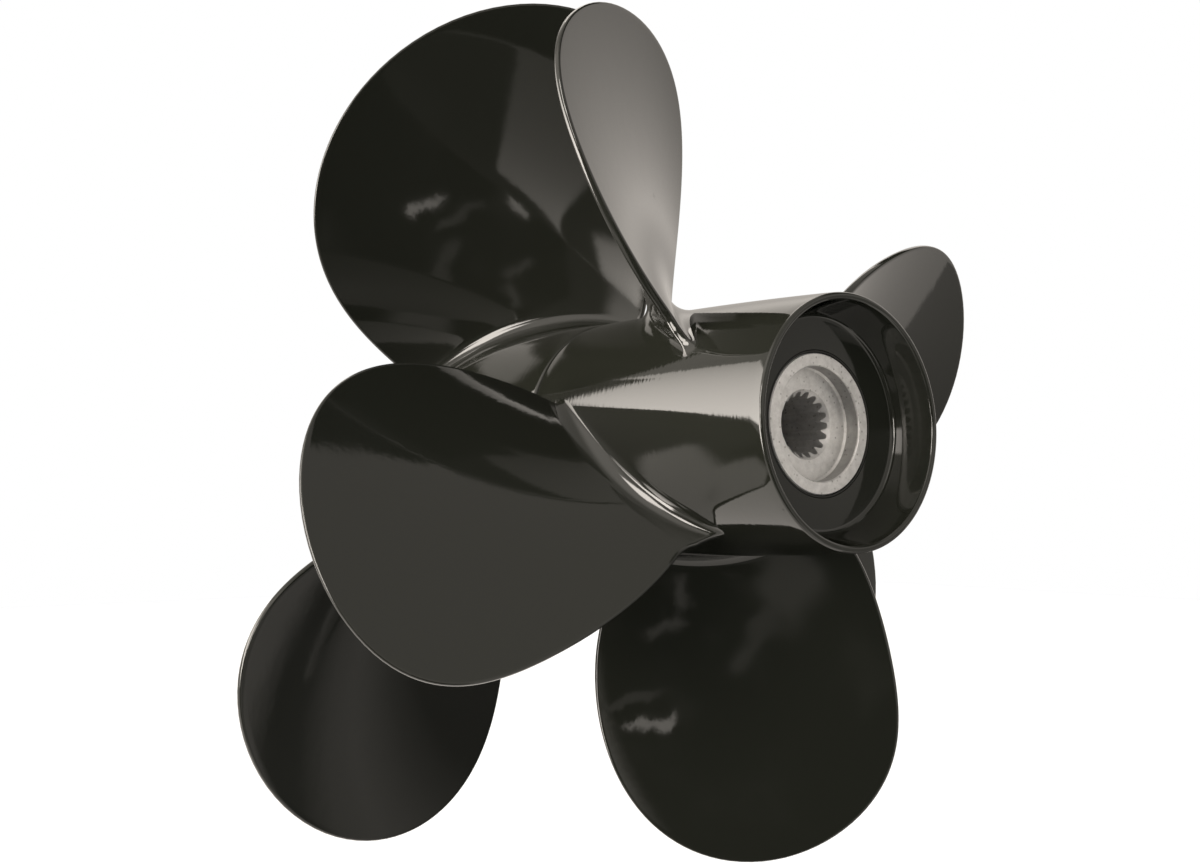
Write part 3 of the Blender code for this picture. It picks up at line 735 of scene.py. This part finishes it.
floor_shape = bmesh.new()
bmesh.ops.create_grid(floor_shape, x_segments=8, y_segments=8, size=FLOOR_HALF_WIDTH)
bmesh.ops.translate(floor_shape, verts=floor_shape.verts, vec=(0.0, 0.0, FLOOR_Z))
floor_mesh = bpy.data.meshes.new("floor")
floor_shape.to_mesh(floor_mesh)
floor_shape.free()
floor = bpy.data.objects.new("floor", floor_mesh)
bpy.context.scene.collection.objects.link(floor)
pale = bpy.data.materials.new("pale_floor")
pale.use_nodes = True
pale_shader = pale.node_tree.nodes["Principled BSDF"]
pale_shader.inputs["Base Color"].default_value = FLOOR_PALE
pale_shader.inputs["Roughness"].default_value = 0.9
floor.data.materials.append(pale)
floor.visible_glossy = False
floor.visible_diffuse = False


def reckon(operation, *values):
    """A math node in the present tree, of two values, each a number or a socket."""
    return linked(tree, "ShaderNodeMath", settings={"operation": operation},
                  inputs=dict(enumerate(values))).outputs[0]


def ramp(value, low, high, out_low, out_high, smooth=True):
    """Run a value from one range to another, without passing its ends."""
    kind = "SMOOTHSTEP" if smooth else "LINEAR"
    return linked(tree, "ShaderNodeMapRange", settings={"interpolation_type": kind},
                  inputs={"Value": value, "From Min": low, "From Max": high,
                          "To Min": out_low, "To Max": out_high}).outputs["Result"]


def faced(direction, azimuth, elevation, roll=0.0):
    """Turn directions so that the one named is straight ahead; give how far they lie off it."""
    turn = (math.radians(-roll), math.radians(-elevation), math.radians(90 - azimuth))
    turned = linked(tree, "ShaderNodeVectorRotate",
                    settings={"rotation_type": "EULER_XYZ", "invert": True},
                    inputs={"Vector": direction, "Rotation": turn})
    parts = linked(tree, "ShaderNodeSeparateXYZ", inputs={"Vector": turned.outputs[0]}).outputs
    ahead = reckon("MAXIMUM", parts["X"], 0.01)
    return reckon("DIVIDE", parts["Y"], ahead), reckon("DIVIDE", parts["Z"], ahead)


def panel(light, direction, azimuth, elevation, roll, width, height, soft, value):
    """Hang a soft-edged flat panel in a direction, its half sizes as slopes, over the light."""
    side, rise = faced(direction, azimuth, elevation, roll)
    across = ramp(reckon("ABSOLUTE", side, 0.0), width - soft, width + soft, 1.0, 0.0)
    upward = ramp(reckon("ABSOLUTE", rise, 0.0), height - soft, height + soft, 1.0, 0.0)
    mask = reckon("MULTIPLY", across, upward)
    return linked(tree, "ShaderNodeMix", settings={"data_type": "FLOAT"},
                  inputs={"Factor": mask, "A": light, "B": value}).outputs[0]


def hang(name, corners, soft_edges):
    """Hang a flat sheet that only reflections see; give its node tree and last two nodes."""
    shape = bmesh.new()
    shape.faces.new([shape.verts.new(corner) for corner in corners])
    mesh = bpy.data.meshes.new(name)
    shape.to_mesh(mesh)
    shape.free()
    sheet = bpy.data.objects.new(name, mesh)
    bpy.context.scene.collection.objects.link(sheet)
    sheet.visible_camera = False
    sheet.visible_diffuse = False
    sheet.visible_shadow = False
    paper = bpy.data.materials.new(name + "_paper")
    paper.use_nodes = True
    nodes = paper.node_tree
    glowing = linked(nodes, "ShaderNodeEmission")
    shown = glowing
    if soft_edges:
        clear = linked(nodes, "ShaderNodeBsdfTransparent")
        shown = linked(nodes, "ShaderNodeMixShader",
                       inputs={1: clear.outputs[0], 2: glowing.outputs[0]})
    nodes.links.new(shown.outputs[0], nodes.nodes["Material Output"].inputs["Surface"])
    mesh.materials.append(paper)
    return nodes, glowing, shown


# A dark card with a paler aft edge low to starboard, which darkens the lowest blades. Its shades
# are given as (y in mm, grey).
CARD_X = 350.0 * MM
CARD_BOTTOM = -500.0 * MM
CARD_TOP = -130.0 * MM
CARD_SHADES = ((-140.0, 0.70), (-95.0, 0.60), (-62.0, 0.10), (-25.0, 0.12), (10.0, 0.36),
               (45.0, 0.42), (105.0, 0.18), (150.0, 0.07), (450.0, 0.05))
card_start = CARD_SHADES[0][0] * MM
card_end = CARD_SHADES[-1][0] * MM
card_corners = ((CARD_X, card_start, CARD_BOTTOM), (CARD_X, card_end, CARD_BOTTOM),
                (CARD_X, card_end, CARD_TOP), (CARD_X, card_start, CARD_TOP))
tree, glowing, _ = hang("card", card_corners, False)
along = linked(tree, "ShaderNodeSeparateXYZ",
               inputs={0: linked(tree, "ShaderNodeTexCoord").outputs["Object"]}).outputs["Y"]
shades = linked(tree, "ShaderNodeValToRGB",
                inputs={"Fac": ramp(along, card_start, card_end, 0.0, 1.0, smooth=False)})
stops = shades.color_ramp.elements
while len(stops) < len(CARD_SHADES):
    stops.new(1.0)
for stop, (y, grey) in zip(stops, CARD_SHADES):
    stop.position = (y * MM - card_start) / (card_end - card_start)
    stop.color = (*(grey * part for part in WARM), 1.0)
tree.links.new(shades.outputs["Color"], glowing.inputs["Color"])

# Scraps of pale film before the cloth, seen as wisps in the upper and the lower blade. Each is
# given as (x, z, half width and half height in mm, brightness).
FILM_Y = -450.0 * MM
FILM_TEAR = (0.12, 0.0, 0.12)
FILM_SHEET = ((-420.0, -330.0), (-130.0, -330.0), (-130.0, 90.0), (-420.0, 90.0))
FILM_SCRAPS = ((-222.0, -165.0, 13.0, 62.0, 2.3), (-316.0, 16.0, 42.0, 20.0, 2.3),
               (-284.0, -120.0, 22.0, 90.0, 0.35))
tree, glowing, shown = hang("film", [(x * MM, FILM_Y, z * MM) for x, z in FILM_SHEET], True)
place = linked(tree, "ShaderNodeTexCoord").outputs["Object"]
stir = linked(tree, "ShaderNodeTexNoise",
              inputs={"Vector": place, "Scale": 14.0, "Detail": 8.0, "Roughness": 0.6})
torn = linked(tree, "ShaderNodeVectorMath", settings={"operation": "SUBTRACT"},
              inputs={0: stir.outputs["Color"], 1: (0.5, 0.5, 0.5)}).outputs[0]
torn = linked(tree, "ShaderNodeVectorMath", settings={"operation": "MULTIPLY_ADD"},
              inputs={0: torn, 1: FILM_TEAR, 2: place}).outputs[0]
brightness = 0.0
cover = 0.0
for x, z, half_x, half_z, value in FILM_SCRAPS:
    off = linked(tree, "ShaderNodeVectorMath", settings={"operation": "SUBTRACT"},
                 inputs={0: torn, 1: (x * MM, FILM_Y, z * MM)}).outputs[0]
    off = linked(tree, "ShaderNodeVectorMath", settings={"operation": "DIVIDE"},
                 inputs={0: off, 1: (half_x * MM, 1.0, half_z * MM)}).outputs[0]
    off = linked(tree, "ShaderNodeVectorMath", settings={"operation": "LENGTH"}, inputs={0: off})
    scrap = ramp(off.outputs["Value"], 0.6, 1.2, 1.0, 0.0)
    brightness = reckon("MAXIMUM", brightness, reckon("MULTIPLY", scrap, value))
    cover = reckon("MAXIMUM", cover, scrap)
glowing.inputs["Color"].default_value = (*WARM, 1.0)
tree.links.new(brightness, glowing.inputs["Strength"])
tree.links.new(cover, shown.inputs[0])

world = bpy.data.worlds.new("studio")
world.use_nodes = True
bpy.context.scene.world = world
tree = world.node_tree

looking = linked(tree, "ShaderNodeTexCoord").outputs["Generated"]
height = linked(tree, "ShaderNodeSeparateXYZ", inputs={"Vector": looking}).outputs["Z"]
light = ramp(height, -1.0, 1.0, 1.25, 0.75, smooth=False)

# Walls: duller upwards, with brighter and duller parts. A panel is given as (azimuth, elevation,
# roll, half width, half height, softness, brightness), its angles in degrees.
light = panel(light, looking, 38.0, 47.0, 0.0, 0.50, 0.30, 0.12, 1.6)
light = panel(light, looking, 84.0, 22.0, 0.0, 0.40, 0.20, 0.14, 1.25)
light = panel(light, looking, 48.0, 13.0, 0.0, 0.20, 0.16, 0.12, 0.62)
light = panel(light, looking, -20.0, -50.0, 0.0, 0.80, 0.30, 0.15, 1.8)
light = panel(light, looking, 165.0, 52.0, 0.0, 1.10, 0.60, 0.25, 0.66)
light = panel(light, looking, -95.0, 38.0, 0.0, 0.60, 0.40, 0.25, 2.0)

# A grey panel low to starboard
light = panel(light, looking, 129.8, -14.5, -22.0, 0.34, 0.42, 0.008, 0.45)

# Dimmer to port behind the lamp
light = panel(light, looking, -131.0, 2.0, 0.0, 0.27, 0.30, 0.07, 0.12)
light = panel(light, looking, -112.0, -16.0, 0.0, 0.24, 0.24, 0.08, 0.15)

# Lamps: the long one to port, brighter towards one end, with a flag at its far end, two small
# ones behind it and one overhead ahead. Two black flags hang overhead to starboard.
LONG_LAMP = (-62.7, 8.0, 44.0)
side, _ = faced(looking, *LONG_LAMP)
glow = ramp(side, -0.8, 0.6, 3.6, 19.0, smooth=False)
light = panel(light, looking, *LONG_LAMP, 0.80, 0.206, 0.015, glow)
light = panel(light, looking, -22.5, 19.5, 0.0, 0.155, 0.20, 0.008, 0.10)
light = panel(light, looking, -102.5, 16.0, 0.0, 0.13, 0.20, 0.04, 17.0)
light = panel(light, looking, -112.5, 3.5, 0.0, 0.085, 0.14, 0.03, 17.0)
light = panel(light, looking, 34.0, 58.0, 0.0, 0.30, 0.10, 0.012, 5.0)
light = panel(light, looking, 80.0, 54.0, 0.0, 0.24, 0.11, 0.015, 0.02)
light = panel(light, looking, 111.5, 43.0, 0.0, 0.23, 0.18, 0.012, 0.03)

# Black cloth behind the camera, with its creases catching some light
CLOTH_STIR = (0.16, 0.16, 0.16)
stir = linked(tree, "ShaderNodeTexNoise",
              inputs={"Vector": looking, "Scale": 7.0, "Detail": 8.0})
stirred = linked(tree, "ShaderNodeVectorMath", settings={"operation": "MULTIPLY_ADD"},
                 inputs={0: stir.outputs["Color"], 1: CLOTH_STIR, 2: looking}).outputs[0]
creases = linked(tree, "ShaderNodeTexNoise",
                 inputs={"Vector": stirred, "Scale": 6.0, "Detail": 5.0})
cloth = ramp(creases.outputs["Fac"], 0.50, 0.80, 0.008, 0.12)
cloth = panel(cloth, stirred, -156.0, -27.0, 6.0, 0.035, 0.15, 0.030, 0.30)
cloth = panel(cloth, stirred, -153.0, -44.0, 0.0, 0.16, 0.16, 0.08, 0.38)
cloth = panel(cloth, stirred, -141.0, -8.0, 0.0, 0.03, 0.10, 0.03, 0.45)
cloth = panel(cloth, stirred, -133.0, -15.0, 0.0, 0.09, 0.03, 0.03, 0.45)
light = panel(light, looking, -157.0, -27.0, 0.0, 0.66, 0.60, 0.05, cloth)

# Warm the light a little, and show the camera and diffuse rays plain white instead
tint = linked(tree, "ShaderNodeMix", settings={"data_type": "RGBA", "blend_type": "MULTIPLY"},
              inputs={"Factor": 1.0, "A": light, "B": (*WARM, 1.0)}).outputs["Result"]
room = tree.nodes["Background"]
tree.links.new(tint, room.inputs["Color"])
plain = linked(tree, "ShaderNodeBackground",
               inputs={"Color": (1.0, 1.0, 1.0, 1.0), "Strength": 1.0})
path = linked(tree, "ShaderNodeLightPath").outputs
seen = reckon("MAXIMUM", path["Is Camera Ray"], path["Is Diffuse Ray"])
shown = linked(tree, "ShaderNodeMixShader",
               inputs={0: seen, 1: room.outputs[0], 2: plain.outputs[0]})
tree.links.new(shown.outputs[0], tree.nodes["World Output"].inputs["Surface"])
bpy.context.scene.view_settings.view_transform = "Standard"
